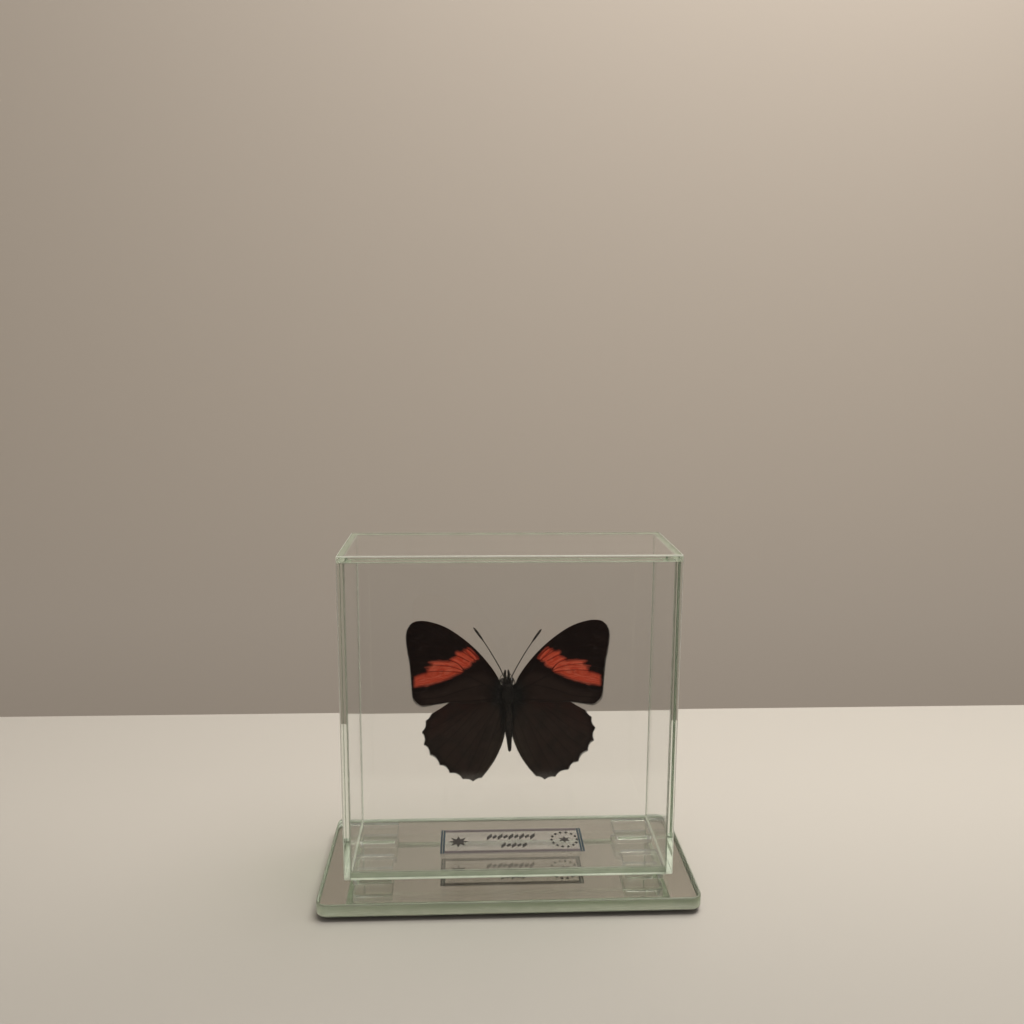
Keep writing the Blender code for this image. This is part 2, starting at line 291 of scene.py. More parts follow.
def hair(roots, tips, radius, bow):
    """(points, faces) of closed three-sided hairs from roots to tips, bowed sideways by bow."""
    along = tips - roots
    axis = unit(along)
    side = unit(np.cross(axis, (0.21, 0.43, 0.88)))
    other = np.cross(axis, side)
    rings = []
    for t, width in ((0.0, 1.0), (0.35, 0.85), (0.7, 0.55)):
        middle = roots + along * t + bow * (4 * t * (1 - t))
        for turn in (0, 2 * pi / 3, 4 * pi / 3):
            out = side * np.cos(turn) + other * np.sin(turn)
            rings.append(middle + out * (radius * width)[:, None])
    points = np.stack([*rings, tips], axis=1).reshape(-1, 3)
    pattern = [(0, 2, 1), *ring_faces(3, 3), (6, 7, 9), (7, 8, 9), (8, 6, 9)]
    faces = [tuple(i + 10 * n for i in face) for n in range(len(roots)) for face in pattern]
    return points, faces


# ---- materials


class Look:
    """A material of one Principled shader, and the nodes that drive it."""

    def __init__(self, name, **sockets):
        self.material = bpy.data.materials.new(name)
        self.material.use_nodes = True
        self.tree = self.material.node_tree
        self.shader = self.tree.nodes["Principled BSDF"]
        self.output = self.tree.nodes["Material Output"]
        self.give(self.shader, sockets)

    def give(self, node, sockets):
        for name, value in sockets.items():
            self.fill(node.inputs[name.replace("_", " ")], value)

    def fill(self, socket, value):
        if isinstance(value, bpy.types.NodeSocket):
            self.tree.links.new(value, socket)
        elif socket.type == "RGBA":
            socket.default_value = (*value, 1)
        else:
            socket.default_value = value

    def node(self, kind, **sockets):
        made = self.tree.nodes.new("ShaderNode" + kind)
        self.give(made, sockets)
        return made

    def value(self, name):
        """A value that the mesh holds for each of its points."""
        made = self.node("Attribute")
        made.attribute_name = name
        return made.outputs["Fac"]

    def maths(self, operation, first, second=0.0):
        made = self.node("Math")
        made.operation = operation
        self.fill(made.inputs[0], first)
        self.fill(made.inputs[1], second)
        return made.outputs[0]

    def times(self, first, second):
        return self.maths("MULTIPLY", first, second)

    def swung(self, base, wave, size):
        """The base, up and down with a wave between 0 and 1 by half of size."""
        return self.maths("ADD", base, self.times(self.maths("SUBTRACT", wave, 0.5), size))

    def step(self, value, low, high, start=0.0, end=1.0):
        """start below low, end above high, and smooth between them."""
        made = self.node("MapRange")
        made.interpolation_type = "SMOOTHSTEP"
        for socket, given in zip(made.inputs, (value, low, high, start, end)):
            self.fill(socket, given)
        return made.outputs[0]

    def blend(self, share, first, second):
        made = self.node("Mix")
        made.data_type = "RGBA"
        self.fill(made.inputs[0], share)
        self.fill(made.inputs[6], first)
        self.fill(made.inputs[7], second)
        return made.outputs[2]

    def over(self, base, tint, value, low, high, most=1.0):
        """The base with the tint over it: none of it where value is low, and most where it is high."""
        return self.blend(self.step(value, low, high, 0.0, most), base, tint)

    def mottled(self, scale, detail, dark, light, low=0.35, high=0.65, stretch=(1, 1, 1)):
        """Colours the shader from dark to light in a soft noise."""
        tone = self.noise(self.place(stretch), scale, detail)
        self.give(self.shader, {"Base Color": self.blend(self.step(tone, low, high), dark, light)})

    def place(self, stretch=(1, 1, 1)):
        """Where a point is on its object, in millimetres, stretched."""
        made = self.node("VectorMath")
        made.operation = "MULTIPLY"
        self.tree.links.new(self.node("TexCoord").outputs["Object"], made.inputs[0])
        made.inputs[1].default_value = [1000 * each for each in stretch]
        return made.outputs[0]

    def joined(self, x, y):
        made = self.node("CombineXYZ")
        for socket, given in zip(made.inputs, (x, y)):
            self.fill(socket, given)
        return made.outputs[0]

    def noise(self, where, scale, detail):
        return self.node("TexNoise", Vector=where, Scale=scale, Detail=detail, Roughness=0.55).outputs[0]

    def bump(self, height, strength, distance):
        made = self.node("Bump", Height=height, Strength=strength, Distance=distance)
        self.tree.links.new(made.outputs[0], self.shader.inputs["Normal"])


def ground_glass(name, dark, light, clear_share, shade=None):
    """A glass edge ground matt: pale, and lit by what comes through it as well as by what falls on it. Given
    a shade colour, its upper part is painted darker in patches, as painted shade.
    """
    look = Look(name, Roughness=0.5, IOR=1.52, Transmission_Weight=clear_share, Specular_IOR_Level=0.4)
    marks = look.noise(look.place((0.25, 0.25, 3)), 0.9, 4.0)
    colour = look.blend(look.step(marks, 0.35, 0.65), dark, light)
    if shade:
        # Painted shade: the edge darkens towards its top, in slow patches.
        z = look.node("SeparateXYZ", Vector=look.place()).outputs["Z"]
        slow = look.noise(look.place((0.025, 0.025, 0.025)), 1.0, 2.0)
        painted_shade_share = look.times(look.step(z, 2.6, 4.8), look.step(slow, 0.35, 0.6, 0.55, 1.0))
        colour = look.blend(painted_shade_share, colour, shade)
    look.give(look.shader, {"Base Color": colour})
    look.bump(look.noise(look.place(), 9.0, 3.0), 0.2, 0.00003)
    return look.material


def glass(name, absorbed, density, tint=(1.0, 1.0, 1.0), ior=1.52):
    """Clear glass that takes its tint from its depth, and lets lamps through to what is behind it."""
    look = Look(name, Base_Color=tint, Roughness=0.0, IOR=ior, Transmission_Weight=1.0)
    rays = look.node("LightPath")
    unbent = look.maths("MAXIMUM", rays.outputs["Is Shadow Ray"], rays.outputs["Is Diffuse Ray"])
    clear = look.node("BsdfTransparent", Color=(0.93, 0.945, 0.93))
    either = look.node("MixShader")
    for socket, given in zip(either.inputs, (unbent, look.shader.outputs[0], clear.outputs[0])):
        look.fill(socket, given)
    look.fill(look.output.inputs["Surface"], either.outputs[0])
    depth = look.node("VolumeAbsorption", Color=absorbed, Density=density)
    look.fill(look.output.inputs["Volume"], depth.outputs[0])
    return look.material


# ---- camera, room and lamp


def camera():
    data = bpy.data.cameras.new("camera")
    data.lens, data.sensor_width = LENS, SENSOR
    data.clip_start = 0.01
    obj = link(bpy.data.objects.new("camera", data))
    turn = (
        Matrix.Rotation(CAMERA_YAW, 4, "Z")
        @ Matrix.Rotation(radians(90) - CAMERA_PITCH, 4, "X")
        @ Matrix.Rotation(CAMERA_ROLL, 4, "Z")
    )
    obj.matrix_world = Matrix.Translation(CAMERA_PLACE) @ turn
    scene.camera = obj


def backdrop(name, corners, material):
    mesh = mesh_of(name, corners, [(0, 1, 2, 3)], [material], smooth=False)
    link(bpy.data.objects.new(name, mesh))


def lamp():
    """The one lamp, over the case and to its right."""
    data = bpy.data.lights.new("overhead", "AREA")
    data.shape = "RECTANGLE"
    data.size, data.size_y = 0.6, 0.5
    data.energy = 7.6
    data.color = (1.0, 0.98, 0.95)
    data.spread = radians(180)
    obj = link(bpy.data.objects.new("overhead", data))
    obj.location = LAMP_PLACE
    obj.rotation_euler = (LAMP_TARGET - LAMP_PLACE).to_track_quat("-Z", "Y").to_euler()


def table_look():
    """A pale tabletop with painted light and shade. Its colour is painted lighter from the front to the back,
    as light falls on it. Its front part, which only the upright panes mirror, is painted nearly black in what
    they mirror, as a painted shadow.
    """
    look = Look("table", Roughness=0.65)
    # Painted shadow: once a ray has been mirrored, the front of the table turns nearly black.
    rays = look.node("LightPath")
    mirrored = look.maths("MINIMUM", rays.outputs["Glossy Depth"], 1.0)
    y = look.node("SeparateXYZ", Vector=look.place()).outputs["Y"]
    edge = 1000 * MIRRORED_SHADE_FROM
    front = look.times(mirrored, look.step(y, edge - 4, edge + 4, 1.0, 0.0))
    # Painted light: the table is painted darker at the front and lighter at the back, where more light falls.
    lit = look.blend(look.step(y, -110.0, 70.0), (0.385, 0.36, 0.32), (0.51, 0.477, 0.425))
    look.give(look.shader, {"Base Color": look.blend(front, lit, (0.012, 0.010, 0.008))})
    return look.material


def room():
    wall = Look("wall", Base_Color=(0.483, 0.422, 0.359), Roughness=0.85)
    x, front, rear = TABLE_SIDE, TABLE_FRONT, TABLE_REAR
    backdrop("table", [(-x, front, 0), (x, front, 0), (x, rear, 0), (-x, rear, 0)], table_look())
    backdrop("wall", [(-3, WALL_Y, -1), (3, WALL_Y, -1), (3, WALL_Y, 2), (-3, WALL_Y, 2)], wall.material)
    world = bpy.data.worlds.new("world")
    scene.world = world
    world.use_nodes = True
    background = world.node_tree.nodes["Background"]
    background.inputs["Color"].default_value = (1.0, 0.95, 0.89, 1)
    background.inputs["Strength"].default_value = WORLD_STRENGTH
    lamp()
    scene.view_settings.view_transform = "Standard"
    scene.cycles.max_bounces = 24
    scene.cycles.transmission_bounces = 24
    scene.cycles.glossy_bounces = 12
    scene.cycles.transparent_max_bounces = 24


# ---- wings


def filled(top, outer, bottom, root):
    """A grid of points that fills four edges (a Coons patch), in rows from the root to the outer edge."""
    u = np.linspace(0, 1, len(top))[:, None, None]
    v = np.linspace(0, 1, len(root))[None, :, None]
    across = (1 - v) * top[:, None] + v * bottom[:, None]
    down = (1 - u) * root[None] + u * outer[None]
    corners = (1 - u) * ((1 - v) * top[0] + v * bottom[0]) + u * ((1 - v) * top[-1] + v * bottom[-1])
    return across + down - corners


def scalloped(tips, depths):
    """The edge through the tips, drawn in between each two of them."""
    tips = np.array(tips)
    edge = []
    for a, b, depth in zip(tips, tips[1:], depths):
        t = np.linspace(0, 1, 14, endpoint=False)[:, None]
        inward = np.array([-(b - a)[1], (b - a)[0]])
        inward /= -np.linalg.norm(inward)
        edge.append(a + (b - a) * t + inward * depth * np.sin(pi * t) ** 0.9)
    return np.vstack([*edge, tips[-1:]])


def forewing_placed(points, side):
    return points + (FORE_SHIFT[side], 0.0)


def hindwing_placed(points, side):
    """The hindwing made a little wider and turned about its root, outwards for a positive angle."""
    turn = HIND_TURN[side]
    spin = np.array([(np.cos(turn), np.sin(turn)), (-np.sin(turn), np.cos(turn))])
    return points * (HIND_WIDTH[side], 1.0) @ spin


def away(points, line, closed=False):
    """How far each point is from a line."""
    line = np.vstack([line, line[:1]]) if closed else line
    nearest = np.full(len(points), 1e9)
    for a, b in zip(line, line[1:]):
        run = b - a
        t = np.clip((points - a) @ run / max(run @ run, 1e-12), 0, 1)
        nearest = np.minimum(nearest, np.linalg.norm(points - a - t[:, None] * run, axis=1))
    return nearest


def within(points, outline):
    inside = np.zeros(len(points), bool)
    for (ax, az), (bx, bz) in zip(outline, np.roll(outline, -1, axis=0)):
        crosses = (az > points[:, 1]) != (bz > points[:, 1])
        with np.errstate(divide="ignore", invalid="ignore"):
            at = ax + (points[:, 1] - az) / (bz - az) * (bx - ax)
        inside ^= crosses & (points[:, 0] < at)
    return inside


def spot_depth(points, outline):
    """How deep each point is inside a smooth outline, and negative outside it."""
    line = curve(outline + outline[:1], 90)[:-1]
    distance = away(points, line, closed=True)
    return np.where(within(points, line), distance, -distance)


def vein_distances(points, veins):
    """How far each point is from each vein."""
    return np.array([away(points, curve(vein, 40)) for vein in veins])


def course(far):
    """A number that grows from vein to vein, so that its level lines run along the cells between them."""
    weight = 1 / (far + 0.15) ** 3
    return (weight * np.arange(len(far))[:, None]).sum(axis=0) / weight.sum(axis=0)


def band_rim(points):
    """How far each point is from the rim of the whole band, whose spots lie side by side."""
    outlines = [outline for _, _, outline in BAND_SPOTS]
    nearest = np.full(len(points), 1e9)
    for number, outline in enumerate(outlines):
        line = curve(outline + outline[:1], 240)[:-1]
        others = outlines[:number] + outlines[number + 1:]
        free = np.max([spot_depth(line, other) for other in others], axis=0) < -0.5
        for place in line[free]:
            nearest = np.minimum(nearest, np.linalg.norm(points - place, axis=1))
    return nearest


def forewing_values(points, outer):
    depths = np.array([spot_depth(points, outline) for _, _, outline in BAND_SPOTS])
    nearest = depths.argmax(axis=0)
    breadth = depths.max(axis=1)
    far = vein_distances(points, FORE_VEINS)
    values = {
        "soft": smooth_step(breadth, 0.7, 1.5)[nearest],
        "rim": band_rim(points),
        "band": np.clip(depths.max(axis=0), -BAND_REACH, BAND_REACH),
        "pale": np.array([pale for pale, _, _ in BAND_SPOTS])[nearest],
        "dusk": np.array([dark for _, dark, _ in BAND_SPOTS])[nearest],
        "vein": far.min(axis=0),
        "margin": away(points, outer),
        "root": np.linalg.norm(points - (1.0, 0.0), axis=1),
        "course": course(far),
    }
    low = curve([(1.0, 3.5), (8.0, 8.0), (15.0, 6.0), (22.0, 2.5), (30.5, 1.5)], 60)
    under = points[:, 1] - np.interp(points[:, 0], low[:, 0], low[:, 1])
    values["hind"] = smooth_step(-under, -0.5, 2.5)
    return values


def hindwing_values(points, outer):
    far = vein_distances(points, HIND_VEINS)
    return {
        "band": np.full(len(points), -BAND_REACH),
        "vein": far.min(axis=0),
        "margin": away(points, outer),
        "root": np.linalg.norm(points - (1.0, -1.0), axis=1),
        "course": course(far),
        "turn": np.arctan2(points[:, 1] - 2.0, points[:, 0] + 4.0),
        "hind": smooth_step(8.5 - points[:, 0] - 0.25 * (points[:, 1] + 14), 0.0, 7.0),
    }


def wing_depth(grid, values, lift, curl):
    """How far the wing's middle stands behind the plane y = 0, in millimetres, over its grid."""
    x, z = grid[..., 0], grid[..., 1]
    vein = values["vein"].reshape(x.shape)
    margin = values["margin"].reshape(x.shape)
    pleat = 0.10 * smooth_step(vein, 0.0, 1.6)
    warp = 0.14 * np.sin(0.27 * x + 0.8) * np.sin(0.21 * z + 1.3)
    return lift + pleat + warp + curl * np.exp(-margin / 3.5) + 0.0009 * x**2 - 0.2 * np.exp(-(x**2) / 9)


def wing_faces(rows, columns, left):
    """The faces of a thin wing's two sides and its rim, and the material of each."""
    index = np.arange(rows * columns).reshape(rows, columns)
    far = index.size
    front = np.stack([index[:-1, :-1], index[1:, :-1], index[1:, 1:], index[:-1, 1:]], axis=-1).reshape(-1, 4)
    line = np.r_[index[:, 0], index[-1, 1:], index[-2::-1, -1], index[0, -2:0:-1]]
    after = np.roll(line, -1)
    rim = np.stack([line, line + far, after + far, after], axis=-1)
    if not left:
        front, rim = front[:, ::-1], rim[:, ::-1]
    back = front[:, ::-1] + far
    slots = np.r_[np.zeros(len(front)), np.ones(len(back)), np.zeros(len(rim))]
    return np.vstack([front, back, rim]), slots


def add_wing(name, side, edges, values_of, lift, curl, finishes, placed):
    grid = filled(*edges)
    rows, columns = grid.shape[:2]
    flat = grid.reshape(-1, 2)
    values = values_of(flat, edges[1])
    depth = wing_depth(grid, values, lift, curl).reshape(-1)
    edge = np.ones((rows, columns))
    edge[:, 0] = edge[:, -1] = edge[-1, :] = 0.35
    thick = WING_THICK / 2 * edge.reshape(-1) + 0.035 * np.exp(-((values["vein"] / 0.11) ** 2))
    x, z = placed(flat, side).T
    points = np.vstack([np.stack([SIDES[side] * x, depth + way * thick, z], axis=1) for way in (-1, 1)])
    faces, slots = wing_faces(rows, columns, side == "left")
    mesh = mesh_of(name, in_frame(points), faces, finishes, slots=slots)
    for key, held in values.items():
        layer = mesh.attributes.new(key, "FLOAT", "POINT")
        layer.data.foreach_set("value", np.tile(held, 2).astype(np.float32))
    piece(name, mesh, [name])


def upright(side, flat, y):
    """Points of the wings' plane as points in space, at y."""
    return np.hstack([SIDES[side] * flat[:, :1], y, flat[:, 1:]])


def fringe(side, line, inside, lift, length, spacing, seed):
    """Fine scales that stand out from a wing's edge."""
    chance = np.random.default_rng(seed)
    count = int(np.linalg.norm(np.diff(line, axis=0), axis=1).sum() / spacing)
    at = spaced(line, count)
    ahead = np.gradient(at, axis=0)
    out = unit(np.stack([ahead[:, 1], -ahead[:, 0]], axis=1))
    out[np.sum(out * (at - inside), axis=1) < 0] *= -1
    sway = chance.normal(0, 0.25, count)[:, None] * np.stack([-out[:, 1], out[:, 0]], axis=1)
    reach = length * chance.uniform(0.45, 1.0, count)[:, None]
    y = lift + chance.normal(0, 0.03, (count, 1))
    roots = upright(side, at - out * 0.12, y)
    tips = upright(side, at + (out + sway) * reach, y + chance.normal(0, 0.05, (count, 1)))
    return hair(roots, tips, np.full(count, 0.045), np.zeros((count, 3)))


# ---- wing materials


def grain(look):
    """Rows of scales, as a height and as a tone, that run out from the root between the veins."""
    out, across = look.value("root"), look.value("course")
    rows = look.joined(look.times(out, 5.0), look.times(across, 13.0))
    lines = look.joined(look.times(out, 0.35), look.times(across, 6.0))
    return look.noise(rows, 1.0, 2.0), look.noise(lines, 1.0, 3.0)


def forewing_ground(look, streaks):
    """The dark part of the forewing, black in front and browner behind."""
    root, broad = look.value("root"), look.noise(look.place(), 0.22, 3.0)
    black, brown = (0.0080, 0.0024, 0.0015), (0.0300, 0.0180, 0.0145)
    ground = look.blend(look.times(look.value("hind"), 0.85), black, brown)
    ground = look.over(ground, black, look.value("margin"), 3.5, 0.6, 0.7)
    ground = look.over(ground, (0.0075, 0.0055, 0.0042), root, 9.0, 3.0, 0.75)
    ground = look.over(ground, (0.060, 0.047, 0.040), streaks, 0.52, 0.72, 0.28)
    ground = look.over(ground, (0.020, 0.010, 0.008), broad, 0.4, 0.7, 0.35)
    return look.over(ground, (0.006, 0.004, 0.0035), look.value("vein"), 0.22, 0.06, 0.55)


def forewing_flame(look, scales, streaks, fine):
    """The red of the band, patchy along the cells, pale at its edge and dark on the veins."""
    root, vein = look.value("root"), look.value("vein")
    tone = look.times(look.value("pale"), look.step(streaks, 0.35, 0.62))
    flame = look.blend(tone, (0.640, 0.058, 0.024), (0.740, 0.150, 0.082))
    flame = look.over(flame, (0.800, 0.160, 0.090), scales, 0.5, 0.75, 0.55)
    flame = look.over(flame, (0.330, 0.022, 0.010), streaks, 0.46, 0.28, 0.38)
    near_edge = look.times(look.step(look.value("band"), 0.55, 0.12, 0.0, 0.5), look.step(vein, 0.3, 0.8))
    flame = look.blend(look.times(near_edge, look.step(fine, 0.35, 0.6)), flame, (0.72, 0.22, 0.18))
    rays = look.joined(look.times(root, 0.30), look.times(look.value("course"), 3.2))
    patches = look.noise(rays, 1.0, 3.0)
    flame = look.over(flame, (0.860, 0.230, 0.140), patches, 0.48, 0.66, 0.40)
    flame = look.over(flame, (0.470, 0.030, 0.014), patches, 0.48, 0.32, 0.45)
    flame = look.over(flame, (0.700, 0.120, 0.075), root, 18.0, 28.0, 0.30)
    flame = look.blend(look.value("dusk"), flame, (0.130, 0.014, 0.008))
    return look.over(flame, (0.180, 0.012, 0.007), vein, 0.20, 0.05, 0.80)


def forewing_upper():
    look = Look("forewing_scales", Roughness=0.62, Specular_IOR_Level=0.06, Specular_Tint=(1.0, 0.62, 0.5))
    scales, streaks = grain(look)
    fine = look.noise(look.place(), 9.0, 2.0)
    ground = forewing_ground(look, streaks)
    flame = forewing_flame(look, scales, streaks, fine)
    frayed = look.swung(look.swung(look.value("band"), streaks, 0.9), fine, 0.35)
    ember = look.over(ground, (0.060, 0.007, 0.004), frayed, -0.55, 0.05, 0.55)
    torn = look.swung(look.value("rim"), streaks, 0.9)
    faint = look.times(look.step(torn, -0.30, 0.90, 1.0, 0.0), look.value("soft"))
    spread = look.times(look.step(frayed, -0.26, 0.06), look.maths("SUBTRACT", 1.0, faint))
    colour = look.blend(spread, ember, flame)
    look.give(look.shader, {"Base Color": colour, "Roughness": look.step(scales, 0.3, 0.8, 0.55, 0.8)})
    look.bump(scales, 0.35, 0.00004)
    return look.material


def hindwing_upper():
    look = Look("hindwing_scales", Roughness=0.66, Specular_IOR_Level=0.08, Specular_Tint=(1.0, 0.8, 0.7))
    scales, streaks = grain(look)
    broad = look.noise(look.place(), 0.16, 3.0)
    ground = look.step(look.value("turn"), -0.62, -0.30)
    ground = look.blend(ground, (0.0330, 0.0205, 0.0165), (0.0330, 0.0130, 0.0100))
    ground = look.blend(look.value("hind"), ground, (0.0420, 0.0300, 0.0230))
    ground = look.over(ground, (0.0190, 0.0140, 0.0120), broad, 0.42, 0.66, 0.5)
    ground = look.over(ground, (0.012, 0.011, 0.009), look.value("root"), 6.0, 2.0, 0.6)
    ground = look.over(ground, (0.060, 0.048, 0.040), streaks, 0.52, 0.75, 0.30)
    edge = look.times(look.step(look.value("margin"), 2.2, 0.4), 0.5)
    ground = look.blend(edge, ground, (0.015, 0.011, 0.009))
    ground = look.over(ground, (0.009, 0.007, 0.006), look.value("vein"), 0.24, 0.07, 0.32)
    look.give(look.shader, {"Base Color": ground, "Roughness": look.step(scales, 0.3, 0.8, 0.58, 0.82)})
    look.bump(scales, 0.35, 0.00004)
    return look.material


def wing_under(name, ground, dark, bars):
    """A duller, paler underside: brown with dark bars across it and the forewing's band showing faintly."""
    look = Look(name, Roughness=0.7, Specular_IOR_Level=0.25, Sheen_Weight=0.06, Sheen_Roughness=0.4)
    scales, streaks = grain(look)
    colour = look.over(ground, dark, look.noise(look.place(), 0.25, 4.0), 0.38, 0.66)
    inward = look.swung(look.value("margin"), look.noise(look.place(), 0.35, 2.0), 2.4)
    for place, width in bars:
        off = look.maths("ABSOLUTE", look.maths("SUBTRACT", inward, place))
        colour = look.over(colour, (0.040, 0.020, 0.012), off, width, width * 0.3, 0.75)
    colour = look.over(colour, (0.330, 0.130, 0.070), look.value("band"), -0.15, 0.25, 0.85)
    colour = look.over(colour, (0.200, 0.150, 0.105), streaks, 0.5, 0.72, 0.35)
    colour = look.over(colour, (0.035, 0.020, 0.013), look.value("vein"), 0.22, 0.07, 0.7)
    look.give(look.shader, {"Base Color": colour})
    look.bump(scales, 0.35, 0.00004)
    return look.material


def hair_look(name, dark, light):
    look = Look(name, Roughness=0.55, Specular_IOR_Level=0.15, Sheen_Weight=0.03, Sheen_Roughness=0.4)
    look.mottled(2.2, 2.0, dark, light, 0.38, 0.7)
    return look.material


# ---- butterfly


def turned_body(levels):
    """(points, faces) of a closed form through ellipses, each (z, half width, half depth, y)."""
    around = 36
    rings = [ellipse(wide, deep, z, around, y=y) for z, wide, deep, y in spaced(levels, 90)]
    faces = ring_faces(len(rings), around)
    faces.append(tuple(range(around))[::-1])
    faces.append(tuple((len(rings) - 1) * around + j for j in range(around)))
    return np.vstack(rings), faces


def rounded(ends, power=0.5):
    """Levels of an egg between two heights: ends is (z low, z high, half width, half depth, y)."""
    low, high, wide, deep, y = ends
    t = np.linspace(-0.995, 0.995, 24)
    size = (1 - t**2) ** power
    return np.stack([low + (high - low) * (t + 1) / 2, wide * size, deep * size, np.full(24, y)], axis=1)


def abdomen_levels():
    """The abdomen from its tip up, with its rings drawn in at the joints."""
    z = np.linspace(-ABDOMEN_TIP, -3.0, 120)
    wide = np.interp(z, ABDOMEN_HEIGHTS, ABDOMEN_WIDTHS)
    joint = 0.06 * np.abs(np.sin(pi * (z + 3.0) / 1.9)) ** 0.35
    return np.stack([z, wide * (0.93 + joint), wide * (0.93 + joint), np.full(120, 0.1)], axis=1)


def leaned(form):
    """The body turned a little in the plane of the wings, so that the head leans left."""
    points, faces = form
    x, y, z = points.T
    aside = TAIL_ASIDE * smooth_step(-z, 10, 18) - HEAD_ASIDE * smooth_step(z, 2.5, 4.5)
    along_x = x * np.cos(BODY_LEAN) - z * np.sin(BODY_LEAN) + aside
    along_z = z * np.cos(BODY_LEAN) + x * np.sin(BODY_LEAN)
    return np.stack([along_x, y, along_z], axis=1), faces


def in_frame(points):
    return points * MM + np.array(THORAX)


def add_part(name, form, material, stands_for=()):
    """A piece of the butterfly from (points, faces) in millimetres."""
    points, faces = form
    piece(name, mesh_of(name, in_frame(points), faces, [material]), stands_for)


def sided(left_right, points, count):
    """The smooth line through the points of the right side, or its mirror image."""
    return curve([(left_right * x, y, z) for x, y, z in points], count)


def egg(centre, radii):
    """(points, faces) of an ellipsoid."""
    levels = [ellipse(np.sin(up), np.sin(up), np.cos(up), 20) for up in np.linspace(0, pi, 16)[1:-1]]
    points, faces = capped(levels, (0, 0, 1), (0, 0, -1))
    return points * radii + centre, [(face[0], *face[:0:-1]) for face in faces]


def body_hair():
    """Hair over the thorax, head and abdomen, and down onto the roots of the wings."""
    chance = np.random.default_rng(5)
    tufts = []

    def coat(count, middle, radii, length, lean, radius):
        out = unit(chance.normal(size=(count, 3)))
        roots = out * radii * 0.96 + middle
        way = unit(out + np.array(lean) + chance.normal(0, 0.22, (count, 3)))
        reach = length * chance.uniform(0.55, 1.1, (count, 1))
        bow = chance.normal(0, 0.08, (count, 3)) * reach
        tufts.append(hair(roots, roots + way * reach, radius * chance.uniform(0.7, 1.2, count), bow))

    coat(2600, (0, -0.1, 0.3), (1.95, 1.75, 3.0), 1.0, (0, -0.1, -0.9), 0.020)
    coat(900, (0, -0.2, 4.4), (1.25, 1.15, 1.25), 0.7, (0, -0.2, 0.5), 0.017)
    coat(500, (0, -0.1, 2.9), (1.35, 1.30, 0.8), 0.8, (0, -0.2, 0.1), 0.018)
    for z in np.arange(-17.5, -3.4, 0.35):
        wide = np.interp(z, [-17.5, -15.0, -13.2, -10.0, -3.4], [0.6, 0.8, 1.1, 1.25, 1.1])
        coat(34, (0, 0.1, z), (wide, wide, 0.5), 0.45, (0, 0, -1.5), 0.014)
    coat(60, (0, 0.1, -18.3), (0.36, 0.36, 0.4), 0.6, (0.1, 0, -2.0), 0.016)
    return joined(tufts)


def palp_hair():
    chance = np.random.default_rng(8)
    tufts = []
    for left_right in (-1, 1):
        line = sided(left_right, [(0.50, -0.7, 5.2), (0.62, -1.0, 6.9), (0.42, -1.1, 8.5)], 90)
        at = line[chance.integers(0, 80, 420)]
        way = unit(np.array([0.15 * left_right, -0.1, 1.0]) + chance.normal(0, 0.34, (420, 3)))
        reach = chance.uniform(0.3, 0.75, (420, 1))
        tufts.append(hair(at, at + way * reach, np.full(420, 0.02), chance.normal(0, 0.05, (420, 3))))
    return joined(tufts)


def wing_hair(side, seed):
    """Long hair lying on the roots of the wings and on the hindwing's inner half."""
    chance = np.random.default_rng(seed)
    tufts = []

    def lay(count, start, end, spread, length, lift, radius):
        t = chance.uniform(0, 1, (count, 1))
        at = np.array(start) * (1 - t) + np.array(end) * t + chance.normal(0, 0.35, (count, 2))
        way = np.array(spread[0]) * (1 - t) + np.array(spread[1]) * t
        way = unit(way) + chance.normal(0, 0.16, (count, 2))
        reach = length * chance.uniform(0.4, 1.1, (count, 1))
        y = lift + chance.uniform(-0.22, 0.02, (count, 1))
        roots = upright(side, at, y + 0.12)
        tips = upright(side, at + way * reach, y - 0.05)
        across, upward = (chance.normal(0, 0.1, (count, 1)) for _ in range(2))
        bow = np.hstack([across, np.full((count, 1), -0.08), upward])
        tufts.append(hair(roots, tips, radius * chance.uniform(0.6, 1.2, count), bow))

    lay(650, (1.4, 2.2), (1.6, -2.2), ((0.6, 0.8), (1.0, -0.35)), 4.2, -0.62, 0.018)
    lay(700, (1.0, -2.4), (0.8, -12.0), ((0.75, -0.65), (0.25, -1.0)), 3.0, 0.08, 0.016)
    return joined(tufts)


def antenna(side):
    """A fine ringed shaft with a long slender club."""
    count = 260
    line = sided(SIDES[side], ANTENNAE[side], count)
    t = np.linspace(0, 1, count)
    rings = 0.014 * np.cos(2 * pi * 52 * t)
    club = smooth_step(t, 0.70, 0.84) * (1 - 0.7 * smooth_step(t, 0.95, 1.0))
    radii = 0.150 + 0.02 * (1 - t) + rings + 0.20 * club
    return tube(line, radii, 12)


def legs():
    t = np.linspace(0, 1, 60)
    parts = []
    for left_right in (-1, 1):
        for radius, points in LEGS:
            radii = radius * (1.15 - 0.7 * t) * (1 + 0.12 * np.cos(t * 40))
            parts.append(tube(sided(left_right, points, 60), radii, 8))
    return joined(parts)


def coil():
    """The tongue, coiled under the head."""
    turn = np.linspace(0, 5.2 * pi, 120)
    size = 0.12 + 0.62 * turn / turn[-1]
    line = np.stack([0.02 * turn / pi, 0.9 + size * np.sin(turn), 5.2 + size * np.cos(turn)], axis=1)
    return tube(line, np.full(120, 0.07), 8)


